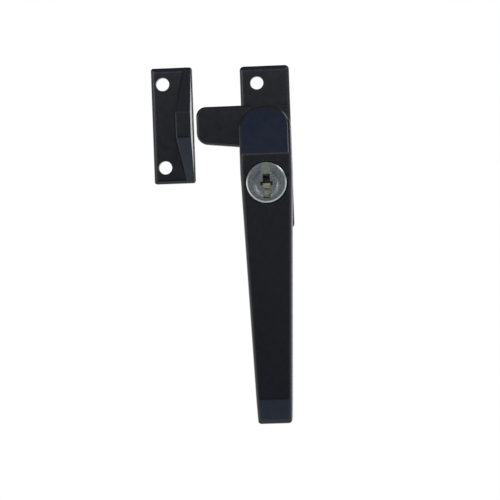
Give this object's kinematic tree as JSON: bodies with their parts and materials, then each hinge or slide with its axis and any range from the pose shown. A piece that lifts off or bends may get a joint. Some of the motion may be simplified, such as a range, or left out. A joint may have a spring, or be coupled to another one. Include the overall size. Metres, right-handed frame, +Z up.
{
  "type": "locking casement window fastener",
  "caption": "Surface-fixed casement window lever with a side tongue, a key lock in the lever and a separate wedge striker that draws the sash shut.",
  "frame": {"origin": "middle of the base plate's back face, where it rests on the window frame", "axes": "+X across the plate, to the right as seen from the room; +Y into the window frame; +Z up, along the lever"},
  "size_m": [0.0548, 0.0244, 0.1397],
  "materials": {
    "black_paint": "semi-gloss black powder coat on zinc die castings",
    "nickel": "satin nickel plate, face brushed, edge polished",
    "brass": "stamped, bare",
    "plated_steel": "bright zinc plate",
    "nylon": "moulded, natural"
  },
  "bodies": {
    "base": {"base_plate": "black_paint", "striker_plate": "black_paint", "bearing_washer": "nylon", "backing_washer": "plated_steel", "wave_washer": "plated_steel"},
    "handle": {"lever_handle": "black_paint", "spur_tongue": "black_paint", "pivot_rivet": "plated_steel", "lock_barrel": "nickel", "barrel_clip": "plated_steel"},
    "plug": {"lock_plug": "nickel", "plug_clip": "plated_steel", "wafer_1": "brass", "wafer_2": "brass", "wafer_3": "brass", "wafer_4": "brass", "wafer_5": "brass", "wafer_spring_1": "plated_steel", "wafer_spring_2": "plated_steel", "wafer_spring_3": "plated_steel", "wafer_spring_4": "plated_steel", "wafer_spring_5": "plated_steel"},
    "bolt": {"lock_bolt": "plated_steel", "bolt_guide_pin": "plated_steel"}
  },
  "joints": [
    {"name": "handle_turn", "type": "hinge", "parent": "base", "child": "handle", "pos_m": [0, 0, 0.0065], "axis": [0, -1, 0], "range_deg": [0, 90]},
    {"name": "key_turn", "type": "hinge", "parent": "handle", "child": "plug", "pos_m": [0, -0.015, -0.01475], "axis": [0, 1, 0], "range_deg": [0, 90]},
    {"name": "bolt_slide", "type": "slide", "parent": "handle", "child": "bolt", "axis": [0, 1, 0], "range_m": [0, 0.0036]}
  ],
  "couplings": [
    {"joint": "bolt_slide", "follows": "key_turn", "m_per_rad": 0.0022918}
  ]
}
